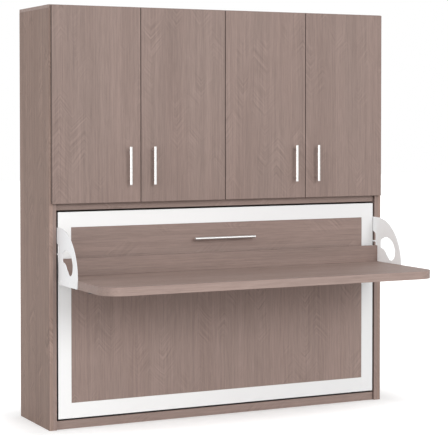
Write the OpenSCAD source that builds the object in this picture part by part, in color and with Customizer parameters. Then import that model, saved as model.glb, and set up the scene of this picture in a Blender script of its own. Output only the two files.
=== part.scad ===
// Wall bed that tilts down sideways, with a level desk on its face and a four-door cupboard above.
// Millimetres. The origin is on the floor, under the middle of the whole object's box.
// +X is the user's right, +Y points into the wall, +Z is up. Drawn closed, with the desk in use.

/* [Cabinet] */
// Outside width of the cabinet
cab_w = 2060; // [1900:10:2300]
// Outside height of the cabinet
cab_h = 2260; // [2200:10:2450]
// Depth of the side panels, front edge to wall
cab_d = 468; // [440:1:560]
// Thickness of the outer side panels
side_t = 20; // [16:1:24]
// Thickness of the side linings in the bed bay
lining_t = 20; // [16:1:24]
// Thickness of the top panel, cupboard floor, shelves and divider
board_t = 18; // [16:1:22]
// Thickness of the back panels
back_t = 6; // [4:1:10]
// Height of the cupboard floor's top face above the room floor
floor_z = 1208; // [1190:1:1260]
// Height of the front rail under the doors
rail_h = 38; // [25:1:60]
// How far the front rail and toe rail stand back from the side panels' front edges
rail_recess = 14; // [8:1:20]
// Height of the toe rail
toe_h = 46; // [30:1:50]
// Height of the wall rails and the rear toe rail
wall_rail_h = 100; // [70:5:140]
// Height of the shelves above the cupboard floor
shelf_rise = 580; // [565:5:800]
// How far the shelves stand back from the doors
shelf_setback = 24; // [10:1:60]
// Length of a shelf pin
shelf_pin_l = 16; // [12:1:20]
// Diameter of a shelf pin
shelf_pin_d = 5; // [4:0.5:8]
// Diameter of the wall fixing holes
wall_hole_d = 8; // [6:0.5:12]
// Distance between the wall fixing holes across the cabinet
wall_hole_pitch = 1625.6; // [1200:0.1:1700]

/* [Doors] */
// Thickness of the doors
door_t = 20; // [16:1:24]
// Gap between the doors and the cabinet's front edges
door_back_gap = 2; // [1:0.5:4]
// Gap between two doors
door_gap = 4; // [2:0.5:5]
// How far the outer doors' edges stand in from the cabinet's sides
door_side_inset = 10; // [6:1:12]
// How far the doors' top edges stand below the top of the cabinet
door_top_inset = 4; // [2:1:10]
// Diameter of the handle bars
bar_d = 16; // [8:1:16]
// Diameter of the handle posts
post_d = 9; // [6:1:12]
// Distance from the front of a door to the front of its handle bar
bar_reach = 39; // [28:1:45]
// Length of the door handles
door_bar_l = 205; // [150:5:300]
// Distance between a door handle's posts
door_post_pitch = 160; // [96:2:180]
// Height of a door handle's lower end above the door's lower edge
door_bar_rise = 94; // [50:1:200]
// Distance from a door's opening edge to its handle
door_bar_inset = 69; // [40:1:100]
// Diameter of the hinge cups
cup_d = 35; // [26:1:40]
// Depth of the hinge cups in the doors
cup_depth = 12; // [8:1:14]
// Distance from a door's hinged edge to the middle of a hinge cup
cup_inset = 22.5; // [20:0.5:26]
// Distance from a door's top and bottom edges to its outer hinges
cup_end = 110; // [80:5:200]
// Distance from the shelves' lower faces down to the middle hinges
shelf_hinge_drop = 56.5; // [40:0.5:80]

/* [Bed] */
// Gap between the bed's face and the side linings
face_gap = 10; // [8:0.5:14]
// Gap between the bed's face and the front rail above it
face_top_gap = 9; // [6:1:16]
// Gap between the bed's face and the toe rail below it
face_bottom_gap = 11; // [9:1:20]
// How far the bed's face stands back from the side panels' front edges
face_recess = 5; // [3:1:8]
// Thickness of the white frame boards round the bed's face
trim_t = 18; // [16:1:22]
// Width of the upright frame boards
stile_w = 75; // [60:1:100]
// Width of the level frame boards
trim_rail_w = 82; // [60:1:100]
// How far the wood panel stands back inside its white frame
panel_recess = 2; // [1:0.5:4]
// Depth and width of the steel channels
channel_w = 30; // [28:1:36]
// Wall of the steel channels
channel_wall = 2.5; // [2:0.5:4]
// How far the steel frame stands in from the sides of the bed's face
frame_inset = 25; // [25:1:32]
// How far the steel frame stands in from the lower edge of the bed's face
frame_rise = 18; // [12:1:22]
// How far the steel frame stands down from the upper edge of the bed's face
frame_drop = 11; // [8:1:20]
// Number of slats
slat_n = 14; // [10:2:18]
// Gap between the outer slats and the side channels
slat_end_gap = 19; // [10:1:40]
// Width of a slat
slat_w = 70; // [50:1:72]
// Thickness of a slat
slat_t = 12; // [8:1:14]
// Gap between the mattress's head and foot ends and the steel frame's outer sides
mattress_end_gap = 2.5; // [2:0.5:10]
// Height of the mattress's lower side above the lower edge of the steel frame
mattress_rise = 30; // [28:1:40]
// How far the mattress's upper side stands down from the upper edge of the steel frame
mattress_drop = 54; // [45:1:100]
// Thickness of the mattress
mattress_t = 200; // [120:5:220]
// Length of the handle on the bed's face
face_bar_l = 375; // [250:5:600]
// Distance between the posts of the handle on the bed's face
face_post_pitch = 320; // [192:2:500]
// Distance from the upper edge of the bed's face to its handle
face_bar_drop = 167; // [120:1:200]

/* [Desk] */
// How far the desk's front edge stands out from the side panels' front edges
desk_reach = 665; // [560:5:720]
// Height of the desk's top face above the floor
desk_z = 823; // [780:1:860]
// Thickness of the desk top
desk_t = 43; // [30:1:50]
// Radius of the desk's two front corners
desk_corner_r = 110; // [60:5:250]
// Distance from the side panels' front edges to the desk's rear edge
desk_rear_gap = 25; // [20:1:40]
// Height of the upstand along the desk's rear edge
upstand_h = 93; // [60:1:120]
// Thickness of the upstand
upstand_t = 20; // [16:1:24]
// Thickness of the steel brackets at the desk's ends
bracket_t = 5; // [4:0.5:6]
// Radius of the brackets' quarter-round fronts
bracket_r = 255; // [230:5:280]
// Radius of the leaf-shaped cut-outs' rounded lower ends
leaf_r = 40; // [30:1:44]
// Height of the desk's feet, which stand on the floor when the bed is down
glide_h = 25; // [20:1:26]
// Diameter of the desk's feet
glide_d = 40; // [30:1:60]

/* [Linkage] */
// Distance from the side panels' front edges to the bed's tilt axis
tilt_y = 60; // [56:1:70]
// Height of the bed's tilt axis
tilt_z = 305; // [300:1:320]
// Height of the desk's pivots
desk_pivot_z = 1036; // [1020:1:1040]
// Distance from each pivot to its levelling rod's pivot, along Y and along Z
rod_offset = 32; // [30:1:34]
// Width of the levelling rods
rod_w = 16; // [12:1:18]
// Thickness of the levelling rods
rod_t = 5; // [4:0.5:6]
// Diameter of the bed's tilt pins
tilt_pin_d = 20; // [16:1:24]
// Diameter of the desk's pivot pins
desk_pin_d = 12; // [10:1:14]
// Diameter of the levelling rods' pins
rod_pin_d = 8; // [6:1:10]
// Running clearance round a pin, on the radius
pin_fit = 0.05; // [0.02:0.01:0.1]
// Side gap between the moving layers of the linkage
layer_gap = 0.5; // [0.4:0.1:0.6]
// Diameter of the gas struts' barrels
strut_d = 18; // [16:1:19]
// Diameter of the gas struts' rods
strut_rod_d = 10; // [8:1:10]
// Length of the gas struts' barrels
strut_barrel_l = 330; // [300:5:360]
// Distance from the side panels' front edges to the struts' upper pins
strut_y = 400; // [380:1:410]
// Height of the struts' upper pins
strut_z = 900; // [880:5:920]
// Height of the struts' lower pins above the lower edge of the steel frame
strut_foot_rise = 15; // [12:1:20]
// Length of the struts' rods
strut_rod_l = 595; // [588:1:600]

/* [Hidden] */

round_fn = 64;
laminate = [0.56, 0.49, 0.46];
white = [0.95, 0.95, 0.94];
steel = [0.72, 0.73, 0.74];
dark = [0.22, 0.22, 0.23];

// How far a cut runs past the faces it opens
over = 1;

// Clearances
seat_gap = 0.3;
cup_gap = 0.1;
open_pivot_gap = 0.5;
door_lap = 1;
shelf_side_gap = 1;
strut_layer_gap = 2;
pin_end_gap = 1;
bracket_side_gap = 3;
head_side_gap = 0.6;

// The cabinet's planes
wall_y = (cab_d + desk_reach) / 2;
front_y = wall_y - cab_d;
side_x = cab_w / 2 - side_t;
lining_x = side_x - lining_t;
roof_z = cab_h - board_t;
rail_y = front_y + rail_recess;
rail_back_y = rail_y + board_t;
back_y = wall_y - back_t;
divider_x = board_t / 2;
shelf_z = floor_z + shelf_rise;
shelf_pin_inset = 40;
shelf_pin_y = [front_y + shelf_setback + shelf_pin_inset, back_y - shelf_pin_inset];
wall_hole_x = wall_hole_pitch / 2;
wall_hole_z = [floor_z - board_t - wall_rail_h / 2, roof_z - wall_rail_h / 2];

// The doors
door_n = 4;
door_span = cab_w - 2 * door_side_inset;
door_w = (door_span - (door_n - 1) * door_gap) / door_n;
door_back_y = front_y - door_back_gap;
door_front_y = door_back_y - door_t;
door_z = [floor_z - door_lap, cab_h - door_top_inset];
hinge_z = [door_z[0] + cup_end, shelf_z - shelf_hinge_drop, door_z[1] - cup_end];
// Left edge of a door, and whether its hinges are on its left
function door_x(i) = -door_span / 2 + i * (door_w + door_gap);
function hinged_left(i) = i == 0 || i == 2;
function hinge_edge_x(i) = hinged_left(i) ? door_x(i) : door_x(i) + door_w;
function free_edge_x(i) = hinged_left(i) ? door_x(i) + door_w : door_x(i);
function inward(i) = hinged_left(i) ? 1 : -1;
cup_flange_t = 1;
cup_flange_w = 4;
cup_wall = 1.5;
arm_w = 14;
arm_l = 60;
arm_h = 14;
arm_plate_h = 40;
arm_plate_start = 20;
arm_plate_l = 55;
arm_plate_y = [front_y + arm_plate_start, front_y + arm_plate_start + arm_plate_l];
bumper_d = 8;
bumper_side_gap = 25;

// The bed's face and its steel frame
face_x = lining_x - face_gap;
face_z = [toe_h + face_bottom_gap, floor_z - rail_h - face_top_gap];
face_y = front_y + face_recess;
face_back_y = face_y + trim_t;
frame_x = face_x - frame_inset;
frame_z = [face_z[0] + frame_rise, face_z[1] - frame_drop];
frame_y = [face_back_y, face_back_y + channel_w];
inner_x = frame_x - channel_w;
cross_rail_n = 2;
holder_wall = 2;
holder_l = 35;
slat_y = frame_y[1] + holder_wall;
slat_z = [frame_z[0] + holder_wall, frame_z[1] - holder_wall];
slat_pitch = (2 * (inner_x - slat_end_gap) - slat_w) / (slat_n - 1);
mattress_l = 2 * (frame_x - mattress_end_gap);
mattress_z = [frame_z[0] + mattress_rise, frame_z[1] - mattress_drop];
mattress_y = slat_y + slat_t + holder_wall + seat_gap;
mattress_corner_r = 60;
strap_w = 38;
strap_t = 1.5;
stop_w = 40;
stop_t = 3;
stop_depth = 130;
anchor_margin = 5;
face_bar_z = face_z[1] - face_bar_drop;

// The side layers, from the lining inwards: bracket, levelling rod, gas strut, steel frame
bracket_x = [lining_x - bracket_side_gap - bracket_t, lining_x - bracket_side_gap];
rod_x = [bracket_x[0] - layer_gap - rod_t, bracket_x[0] - layer_gap];
strut_x = rod_x[0] - strut_layer_gap - strut_d / 2;
head_x = lining_x - head_side_gap;

// The pivots in the side view, as [y, z]
tilt_at = [front_y + tilt_y, tilt_z];
desk_pivot_at = [(frame_y[0] + frame_y[1]) / 2, desk_pivot_z];
rod_low_at = tilt_at + [rod_offset, rod_offset];
rod_high_at = desk_pivot_at + [rod_offset, rod_offset];
strut_high_at = [front_y + strut_y, strut_z];
strut_low_at = [desk_pivot_at[0], frame_z[0] + strut_foot_rise];
strut_l = norm(strut_low_at - strut_high_at);
rod_l = norm(rod_high_at - rod_low_at);
tilt_plate_t = 6;
tilt_boss_l = 11;
tilt_boss_wall = 8;
tilt_plate_h = 120;
tilt_plate_reach = 25;
base_t = 6;
base_margin = 18;
rod_eye_wall = 6;
desk_boss_wall = 6;
head_lip = 3;
anchor_plate_w = 60;
strut_eye_r = strut_d / 2;
strut_neck_l = 14;
strut_neck_wall = 1;
strut_bore_start = 26;

// The desk
desk_x = bracket_x[0];
desk_y = [front_y - desk_reach, front_y - desk_rear_gap];
desk_low_z = desk_z - desk_t;
bracket_mid_in = 15;
bracket_mid_rise = 2;
bracket_mid = [desk_y[1] - bracket_mid_in, desk_z + bracket_mid_rise];
bracket_corner_r = 12;
neck_rise = 168;
neck_low_z = bracket_mid[1] + neck_rise;
neck_corner_r = 18;
lug_rise = 111;
lug_h = 7;
lug_bite = 3;
lug_z = [bracket_mid[1] + lug_rise, bracket_mid[1] + lug_rise + lug_h];
lug_y = face_y + lug_bite;
bracket_eye_wall = 10;
bracket_pivot_wall = 20;

// The leaf-shaped cut-out's arcs, placed from the middle of the bracket's quarter round
leaf_end = bracket_mid + [-150, 54];
leaf_crown = bracket_mid + [-100, 50];
leaf_crown_r = 95;
leaf_heel_r = 12;
leaf_heel_top = bracket_mid + [-51, 119];
leaf_heel_low = bracket_mid + [-51, 89];
leaf_bite = bracket_mid + [-45, 15];
leaf_bite_r = 63;

// The desk's screws and feet
screw_d = 5;
screw_l = 40;
screw_head_d = 10;
screw_head_t = 2;
screw_n = 4;
screw_pitch = 65;
screw_start = 35;
glide_taper = 6;
glide_d_low = glide_d - glide_taper;
glide_inset_x = 80;
glide_rear_inset = 40;
glide_front_inset = 260;
glide_y = [desk_y[1] - glide_rear_inset, desk_y[1] - glide_front_inset];

// ---- Shared shapes ----

// A box between two corners given as [low, high] pairs
module block(x, y, z) {
    translate([x[0], y[0], z[0]])
        cube([x[1] - x[0], y[1] - y[0], z[1] - z[0]]);
}

// A round bar along X between x0 and x1, centred on at = [y, z]
module bar_x(x0, x1, r, at) {
    translate([x0, at[0], at[1]])
        rotate([0, 90, 0])
            cylinder(r = r, h = x1 - x0, $fn = round_fn);
}

// A flat plate that lies in the side view, from x[0] to x[1]
module side_plate(x) {
    translate([x[0], 0, 0])
        rotate([90, 0, 90])
            linear_extrude(x[1] - x[0])
                children();
}

// The same thing on both sides of the middle plane
module both_sides() {
    children();
    left_side() children();
}

module left_side() {
    mirror([1, 0, 0])
        children();
}

// Points on an arc
function arc(mid, r, a0, a1, n = 12) =
    [for (k = [0:n]) mid + r * [cos(a0 + (a1 - a0) * k / n), sin(a0 + (a1 - a0) * k / n)]];

// A handle that stands out along -Y from y = 0, with its bar along Z, centred on z = 0
module bar_handle(length, pitch) {
    translate([0, -bar_reach + bar_d / 2, -length / 2])
        cylinder(d = bar_d, h = length, $fn = round_fn);
    for (side = [-1, 1])
        translate([0, 0, side * pitch / 2])
            rotate([90, 0, 0])
                cylinder(d = post_d, h = bar_reach - bar_d / 2, $fn = round_fn);
}

// A channel section along +Z, its web on x = 0 and its mouth towards -X, from y[0] to y[1]
module channel(length, y) {
    difference() {
        block([-channel_w, 0], y, [0, length]);
        block([-channel_w - over, -channel_wall], [y[0] + channel_wall, y[1] - channel_wall],
              [-over, length + over]);
    }
}

// ---- Cabinet ----

module shelf_pin_bores() {
    for (y = shelf_pin_y)
        both_sides() {
            bar_x(side_x - over, side_x + shelf_pin_l / 2 + pin_fit, shelf_pin_d / 2 + pin_fit,
                  [y, shelf_z - shelf_pin_d / 2]);
            bar_x(divider_x - shelf_pin_l / 2 - pin_fit, divider_x + over, shelf_pin_d / 2 + pin_fit,
                  [y, shelf_z - shelf_pin_d / 2]);
        }
}

module side_panel() {
    difference() {
        block([side_x, cab_w / 2], [front_y, wall_y], [0, roof_z]);
        shelf_pin_bores();
    }
}

module right_side_panel() {
    color(laminate) side_panel();
}

module left_side_panel() {
    color(laminate) left_side() side_panel();
}

module side_lining() {
    block([lining_x, side_x], [front_y, wall_y], [0, floor_z]);
}

module right_side_lining() {
    color(laminate) side_lining();
}

module left_side_lining() {
    color(laminate) left_side() side_lining();
}

module top_panel() {
    color(laminate) block([-cab_w / 2, cab_w / 2], [front_y, wall_y], [roof_z, cab_h]);
}

module cupboard_floor() {
    color(laminate) block([-lining_x, lining_x], [rail_back_y, wall_y], [floor_z - board_t, floor_z]);
}

module cupboard_divider() {
    color(laminate) difference() {
        block([-divider_x, divider_x], [front_y, back_y], [floor_z, roof_z]);
        shelf_pin_bores();
    }
}

module shelves() {
    color(laminate) both_sides()
        block([divider_x + shelf_side_gap, side_x - shelf_side_gap],
              [front_y + shelf_setback, back_y - shelf_side_gap], [shelf_z, shelf_z + board_t]);
}

module shelf_pins() {
    color(steel) for (y = shelf_pin_y)
        both_sides() {
            bar_x(side_x - shelf_pin_l / 2, side_x + shelf_pin_l / 2, shelf_pin_d / 2,
                  [y, shelf_z - shelf_pin_d / 2]);
            bar_x(divider_x - shelf_pin_l / 2, divider_x + shelf_pin_l / 2, shelf_pin_d / 2,
                  [y, shelf_z - shelf_pin_d / 2]);
        }
}

// Four holes through the back panels and the wall rails, for the wall screws
module wall_holes() {
    for (z = wall_hole_z)
        both_sides()
            translate([wall_hole_x, back_y - board_t - over, z])
                rotate([-90, 0, 0])
                    cylinder(d = wall_hole_d, h = back_t + board_t + 2 * over, $fn = round_fn);
}

module back_panels() {
    color(laminate) difference() {
        union() {
            block([-side_x, side_x], [back_y, wall_y], [floor_z, roof_z]);
            block([-lining_x, lining_x], [back_y, wall_y], [0, floor_z - board_t]);
        }
        wall_holes();
    }
}

module front_rail() {
    color(laminate) block([-lining_x, lining_x], [rail_y, rail_back_y], [floor_z - rail_h, floor_z]);
}

module toe_rail() {
    color(laminate) block([-lining_x, lining_x], [rail_y, rail_back_y], [0, toe_h]);
}

module wall_rails() {
    color(laminate) difference() {
        union() {
            both_sides()
                block([divider_x, side_x], [back_y - board_t, back_y], [roof_z - wall_rail_h, roof_z]);
            block([-lining_x, lining_x], [back_y - board_t, back_y],
                  [floor_z - board_t - wall_rail_h, floor_z - board_t]);
        }
        wall_holes();
    }
}

module rear_toe_rail() {
    color(laminate) block([-lining_x, lining_x], [back_y - board_t, back_y], [0, wall_rail_h]);
}

module door_bumpers() {
    color(white) for (i = [0:door_n - 1])
        translate([free_edge_x(i) - inward(i) * bumper_side_gap, front_y, roof_z + board_t / 2])
            rotate([90, 0, 0])
                cylinder(d = bumper_d, h = door_back_gap - seat_gap, $fn = round_fn);
}

// One hinge's arm on its mounting plate, for door i at height z
module hinge_arm(i, z) {
    cup_x = hinge_edge_x(i) + inward(i) * cup_inset;
    carrier_x = i == 0 ? -side_x : i == 1 ? -divider_x : i == 2 ? divider_x : side_x;
    arm_x = [cup_x - arm_w / 2, cup_x + arm_w / 2];
    plate_x = hinged_left(i) ? [carrier_x, arm_x[0]] : [arm_x[1], carrier_x];
    arm_y = [front_y + open_pivot_gap, front_y + open_pivot_gap + arm_l];
    block(arm_x, arm_y, [z - arm_h / 2, z + arm_h / 2]);
    block(plate_x, arm_plate_y, [z - arm_plate_h / 2, z + arm_plate_h / 2]);
}

module hinge_arms() {
    color(steel) for (i = [0:door_n - 1], z = hinge_z)
        hinge_arm(i, z);
}

// The plate on the lining that holds the bed's tilt pin and the levelling rod's lower pin
module pivot_base() {
    plate_y = [tilt_at[0] - base_margin, rod_low_at[0] + base_margin];
    plate_z = [tilt_at[1] - base_margin - rod_offset / 2, rod_low_at[1] + base_margin];
    block([lining_x - base_t, lining_x], plate_y, plate_z);
    bar_x(frame_x + pin_end_gap, lining_x - base_t, tilt_pin_d / 2, tilt_at);
    bar_x(rod_x[1] + layer_gap, lining_x - base_t, rod_pin_d / 2 + head_lip, rod_low_at);
    bar_x(rod_x[0] - layer_gap, lining_x - base_t, rod_pin_d / 2, rod_low_at);
}

module pivot_bases() {
    color(steel) both_sides() pivot_base();
}

// The plate and stud that hold the upper end of a gas strut
module strut_anchor() {
    block([lining_x - base_t, lining_x],
          [strut_high_at[0] - anchor_plate_w / 2, strut_high_at[0] + anchor_plate_w / 2],
          [strut_high_at[1] - anchor_plate_w / 2, strut_high_at[1] + anchor_plate_w / 2]);
    bar_x(strut_x + strut_d / 2 + layer_gap, lining_x - base_t, strut_rod_d / 2 + head_lip, strut_high_at);
    bar_x(strut_x - strut_d / 2, lining_x - base_t, strut_rod_d / 2, strut_high_at);
}

module strut_anchors() {
    color(steel) both_sides() strut_anchor();
}

// ---- Doors ----

// The three blind bores for the hinge cups of door i
module cup_bores(i) {
    for (z = hinge_z)
        translate([hinge_edge_x(i) + inward(i) * cup_inset, door_back_y - cup_depth, z])
            rotate([-90, 0, 0])
                cylinder(d = cup_d, h = cup_depth + over, $fn = round_fn);
}

module door(i) {
    color(laminate) difference() {
        block([door_x(i), door_x(i) + door_w], [door_front_y, door_back_y], door_z);
        cup_bores(i);
    }
}

module door_handle(i) {
    color(steel) translate([free_edge_x(i) - inward(i) * door_bar_inset, door_front_y,
                            door_z[0] + door_bar_rise + door_bar_l / 2])
        bar_handle(door_bar_l, door_post_pitch);
}

module hinge_cups(i) {
    color(steel) for (z = hinge_z)
        translate([hinge_edge_x(i) + inward(i) * cup_inset, door_back_y, z])
            rotate([90, 0, 0])
                difference() {
                    union() {
                        cylinder(d = cup_d - 2 * cup_gap, h = cup_depth, $fn = round_fn);
                        translate([0, 0, -cup_flange_t])
                            cylinder(d = cup_d + 2 * cup_flange_w, h = cup_flange_t, $fn = round_fn);
                    }
                    translate([0, 0, -cup_flange_t - over])
                        cylinder(d = cup_d - 2 * cup_gap - 2 * cup_wall,
                                 h = cup_depth + cup_flange_t + over - cup_wall, $fn = round_fn);
                }
}

module door_1() { door(0); }
module door_2() { door(1); }
module door_3() { door(2); }
module door_4() { door(3); }
module door_1_handle() { door_handle(0); }
module door_2_handle() { door_handle(1); }
module door_3_handle() { door_handle(2); }
module door_4_handle() { door_handle(3); }
module door_1_hinge_cups() { hinge_cups(0); }
module door_2_hinge_cups() { hinge_cups(1); }
module door_3_hinge_cups() { hinge_cups(2); }
module door_4_hinge_cups() { hinge_cups(3); }

// ---- Bed ----

module face_panel() {
    color(laminate) block([-face_x + stile_w, face_x - stile_w], [face_y + panel_recess, face_back_y],
                          [face_z[0] + trim_rail_w, face_z[1] - trim_rail_w]);
}

module face_frame_top() {
    color(white) block([-face_x + stile_w, face_x - stile_w], [face_y, face_back_y],
                       [face_z[1] - trim_rail_w, face_z[1]]);
}

module face_frame_bottom() {
    color(white) block([-face_x + stile_w, face_x - stile_w], [face_y, face_back_y],
                       [face_z[0], face_z[0] + trim_rail_w]);
}

module face_stile() {
    color(white) block([face_x - stile_w, face_x], [face_y, face_back_y], face_z);
}

module face_frame_right() {
    face_stile();
}

module face_frame_left() {
    left_side() face_stile();
}

module face_handle() {
    color(steel) translate([0, face_y + panel_recess, face_bar_z])
        rotate([0, 90, 0])
            bar_handle(face_bar_l, face_post_pitch);
}

module bed_channel_sides() {
    color(white) both_sides()
        translate([frame_x, 0, frame_z[0]])
            channel(frame_z[1] - frame_z[0], frame_y);
}

// A channel across the bed with its web at height z, and its mouth upwards or downwards
module cross_channel(z, mouth_up) {
    translate([mouth_up ? -inner_x : inner_x, 0, z])
        rotate([0, mouth_up ? 90 : -90, 0])
            channel(2 * inner_x, frame_y);
}

module bed_channel_top() {
    color(white) cross_channel(frame_z[1], false);
}

module bed_channel_bottom() {
    color(white) cross_channel(frame_z[0], true);
}

module bed_cross_rails() {
    color(white) for (k = [1:cross_rail_n])
        cross_channel(frame_z[0] + (frame_z[1] - frame_z[0]) * k / (cross_rail_n + 1) + channel_w / 2, false);
}

// Middle of slat k
function slat_x(k) = (k - (slat_n - 1) / 2) * slat_pitch;

module slats() {
    color([0.85, 0.74, 0.57]) for (k = [0:slat_n - 1])
        block([slat_x(k) - slat_w / 2, slat_x(k) + slat_w / 2], [slat_y, slat_y + slat_t], slat_z);
}

// A cap over each end of slat k
module slat_holder(k, upper) {
    outer_x = [slat_x(k) - slat_w / 2 - holder_wall, slat_x(k) + slat_w / 2 + holder_wall];
    outer_z = upper ? [frame_z[1] - holder_l, frame_z[1]] : [frame_z[0], frame_z[0] + holder_l];
    difference() {
        block(outer_x, [frame_y[1], slat_y + slat_t + holder_wall], outer_z);
        block(outer_x + [holder_wall, -holder_wall], [slat_y, slat_y + slat_t], slat_z);
    }
}

module slat_holders() {
    color(dark) for (k = [0:slat_n - 1]) {
        slat_holder(k, false);
        slat_holder(k, true);
    }
}

module mattress() {
    mid_x = mattress_l / 2 - mattress_corner_r;
    mid_z = [mattress_z[0] + mattress_corner_r, mattress_z[1] - mattress_corner_r];
    color([0.93, 0.92, 0.9]) translate([0, mattress_y + mattress_t, 0])
        rotate([90, 0, 0])
            linear_extrude(mattress_t)
                polygon(concat(arc([mid_x, mid_z[0]], mattress_corner_r, -90, 0, 8),
                               arc([mid_x, mid_z[1]], mattress_corner_r, 0, 90, 8),
                               arc([-mid_x, mid_z[1]], mattress_corner_r, 90, 180, 8),
                               arc([-mid_x, mid_z[0]], mattress_corner_r, 180, 270, 8)));
}

// A strap from the lower channel round the mattress to the upper channel
module mattress_strap() {
    strap_x = [-strap_w / 2, strap_w / 2];
    out_y = mattress_y + mattress_t + seat_gap;
    low_z = mattress_z[0] - seat_gap;
    high_z = mattress_z[1] + seat_gap;
    block(strap_x, [frame_y[1], frame_y[1] + strap_t], [frame_z[0] + anchor_margin, low_z]);
    block(strap_x, [frame_y[1], out_y + strap_t], [low_z - strap_t, low_z]);
    block(strap_x, [out_y, out_y + strap_t], [low_z - strap_t, high_z + strap_t]);
    block(strap_x, [frame_y[1], out_y + strap_t], [high_z, high_z + strap_t]);
    block(strap_x, [frame_y[1], frame_y[1] + strap_t], [high_z, frame_z[1] - anchor_margin]);
}

// Between which slats the straps and the stops stand, counted from the middle gap
strap_gaps = [-4, 0, 4];
stop_gaps = [-6, -2, 2, 6];

module mattress_straps() {
    color(dark) for (g = strap_gaps)
        translate([g * slat_pitch, 0, 0])
            mattress_strap();
}

// An angle plate on the channel that keeps the mattress's edge in place
module mattress_stop() {
    stop_x = [-stop_w / 2, stop_w / 2];
    low_z = mattress_z[0] - seat_gap;
    high_z = mattress_z[1] + seat_gap;
    block(stop_x, [frame_y[1], frame_y[1] + stop_t], [frame_z[0] + anchor_margin, low_z]);
    block(stop_x, [frame_y[1], frame_y[1] + stop_depth], [low_z - stop_t, low_z]);
    block(stop_x, [frame_y[1], frame_y[1] + stop_t], [high_z, frame_z[1] - anchor_margin]);
    block(stop_x, [frame_y[1], frame_y[1] + stop_depth], [high_z, high_z + stop_t]);
}

module mattress_stops() {
    color(white) for (g = stop_gaps)
        translate([g * slat_pitch, 0, 0])
            mattress_stop();
}

// The plate and boss on the steel frame that turn on the tilt pin
module tilt_plate() {
    difference() {
        union() {
            block([frame_x, frame_x + tilt_plate_t], [frame_y[0], tilt_at[0] + tilt_plate_reach],
                  [tilt_at[1] - tilt_plate_h / 2, tilt_at[1] + tilt_plate_h / 2]);
            bar_x(frame_x, frame_x + tilt_plate_t + tilt_boss_l, tilt_pin_d / 2 + tilt_boss_wall, tilt_at);
        }
        bar_x(frame_x - over, lining_x, tilt_pin_d / 2 + pin_fit, tilt_at);
    }
}

module tilt_plates() {
    color(white) both_sides() tilt_plate();
}

// The shouldered pin on the steel frame that the desk's bracket turns on
module desk_pivot() {
    bar_x(frame_x, bracket_x[0] - seat_gap, desk_pin_d / 2 + desk_boss_wall, desk_pivot_at);
    bar_x(frame_x, head_x, desk_pin_d / 2, desk_pivot_at);
    bar_x(bracket_x[1] + seat_gap, head_x, desk_pin_d / 2 + head_lip, desk_pivot_at);
}

module desk_pivots() {
    color(steel) both_sides() desk_pivot();
}

// ---- Desk ----

// The holes for the screws that hold the brackets to the desk's ends
module screw_bores() {
    both_sides() for (k = [0:screw_n - 1])
        bar_x(desk_x - screw_l - pin_fit, bracket_x[1] + over, screw_d / 2 + pin_fit,
              [desk_y[1] - screw_start - k * screw_pitch, desk_z - desk_t / 2]);
}

module desk_top() {
    corner = [desk_x - desk_corner_r, desk_y[0] + desk_corner_r];
    color(laminate) difference() {
        translate([0, 0, desk_low_z])
            linear_extrude(desk_t)
                polygon(concat([[desk_x, desk_y[1]], [-desk_x, desk_y[1]]],
                               arc([-corner[0], corner[1]], desk_corner_r, 180, 270, 24),
                               arc(corner, desk_corner_r, 270, 360, 24)));
        screw_bores();
    }
}

module desk_upstand() {
    color(laminate) block([-desk_x, desk_x], [desk_y[1] - upstand_t, desk_y[1]], [desk_z, desk_z + upstand_h]);
}

// The bracket's outline in the side view, anticlockwise seen from the right
module bracket_outline() {
    rear = desk_y[1];
    front = bracket_mid[0] - bracket_r;
    eye_r = rod_pin_d / 2 + bracket_eye_wall;
    pivot_r = desk_pin_d / 2 + bracket_pivot_wall;
    neck_mid = [rear + neck_corner_r, neck_low_z - neck_corner_r];
    polygon(concat(
        arc([front + bracket_corner_r, desk_low_z + bracket_corner_r], bracket_corner_r, 180, 270, 6),
        [[rear, desk_low_z], [rear, lug_z[0]], [lug_y, lug_z[0]], [lug_y, lug_z[1]], [rear, lug_z[1]]],
        arc(neck_mid, neck_corner_r, 180, 90, 8),
        arc(desk_pivot_at, pivot_r, -100, -45, 8),
        arc(rod_high_at, eye_r, -45, 90, 10),
        arc(bracket_mid, bracket_r, 90, 180, 32)));
}

// The leaf-shaped cut-out: its rounded lower end, its round outer side and its upright rear edge
module leaf_outline() {
    difference() {
        polygon(concat(arc(leaf_end, leaf_r, 330, 180),
                       arc(leaf_crown, leaf_crown_r, 166, 76, 24),
                       arc(leaf_heel_top, leaf_heel_r, 60, 0, 6),
                       arc(leaf_heel_low, leaf_heel_r, 0, -90, 6)));
        translate(leaf_bite) circle(r = leaf_bite_r, $fn = 96);
    }
}

module desk_bracket() {
    color(white) difference() {
        side_plate(bracket_x)
            difference() {
                bracket_outline();
                leaf_outline();
            }
        bar_x(bracket_x[0] - over, bracket_x[1] + over, desk_pin_d / 2 + pin_fit, desk_pivot_at);
        bar_x(bracket_x[0] - over, bracket_x[1] + over, rod_pin_d / 2 + pin_fit, rod_high_at);
        screw_bores();
    }
}

module right_desk_bracket() {
    desk_bracket();
}

module left_desk_bracket() {
    left_side() desk_bracket();
}

module bracket_screws() {
    color(white) both_sides() for (k = [0:screw_n - 1]) {
        at = [desk_y[1] - screw_start - k * screw_pitch, desk_z - desk_t / 2];
        bar_x(desk_x - screw_l, bracket_x[1] + screw_head_t, screw_d / 2, at);
        bar_x(bracket_x[1], bracket_x[1] + screw_head_t, screw_head_d / 2, at);
    }
}

// The rivet through a bracket that the levelling rod's upper eye hangs on
module rod_rivets() {
    color(steel) both_sides() {
        bar_x(rod_x[0] - layer_gap, head_x, rod_pin_d / 2, rod_high_at);
        bar_x(bracket_x[1], head_x, rod_pin_d / 2 + head_lip, rod_high_at);
    }
}

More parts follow.
